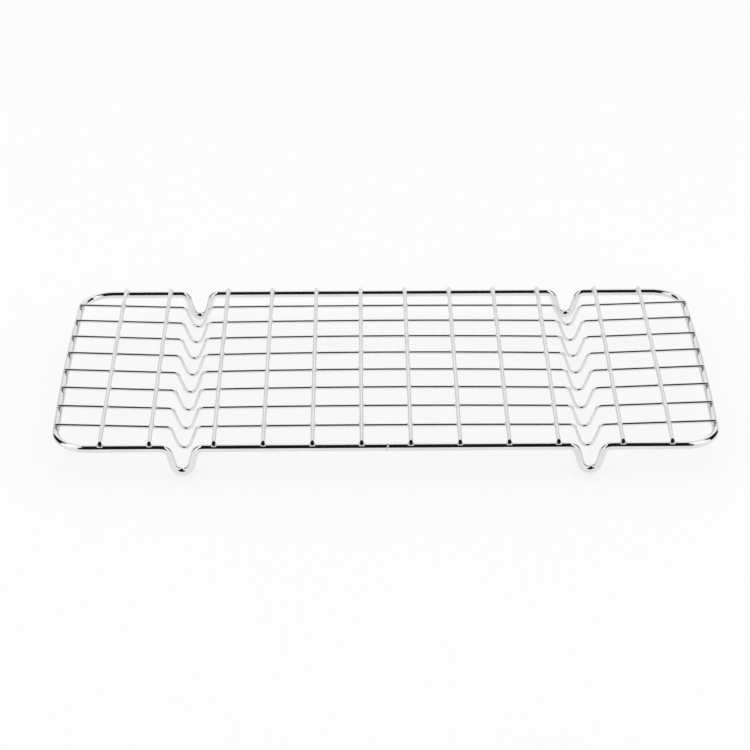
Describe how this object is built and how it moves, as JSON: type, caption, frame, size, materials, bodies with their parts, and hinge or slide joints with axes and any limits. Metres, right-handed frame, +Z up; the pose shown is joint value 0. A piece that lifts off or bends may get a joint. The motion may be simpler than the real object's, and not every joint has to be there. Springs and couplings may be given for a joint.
{
  "type": "roasting rack",
  "caption": "Rectangular chromed wire rack: a stout rim bent down into legs carries a welded grid of finer wires with two vee grooves, and holds a roast clear of the pan.",
  "frame": {"origin": "centre of the rack on the surface that its four legs stand on", "axes": "+X along the length, left to right; +Y from the front edge to the back edge; +Z up"},
  "size_m": [0.402, 0.2, 0.0255],
  "materials": {
    "chrome_wire": "bright chrome plate on drawn steel wire"
  },
  "bodies": {
    "root": {"rim_wire": "chrome_wire", "long_wire_1": "chrome_wire", "long_wire_2": "chrome_wire", "long_wire_3": "chrome_wire", "long_wire_4": "chrome_wire", "long_wire_5": "chrome_wire", "long_wire_6": "chrome_wire", "long_wire_7": "chrome_wire", "long_wire_8": "chrome_wire", "cross_wire_1": "chrome_wire", "cross_wire_2": "chrome_wire", "cross_wire_3": "chrome_wire", "cross_wire_4": "chrome_wire", "cross_wire_5": "chrome_wire", "cross_wire_6": "chrome_wire", "cross_wire_7": "chrome_wire", "cross_wire_8": "chrome_wire", "cross_wire_9": "chrome_wire", "cross_wire_10": "chrome_wire", "cross_wire_11": "chrome_wire", "cross_wire_12": "chrome_wire"}
  },
  "joints": []
}
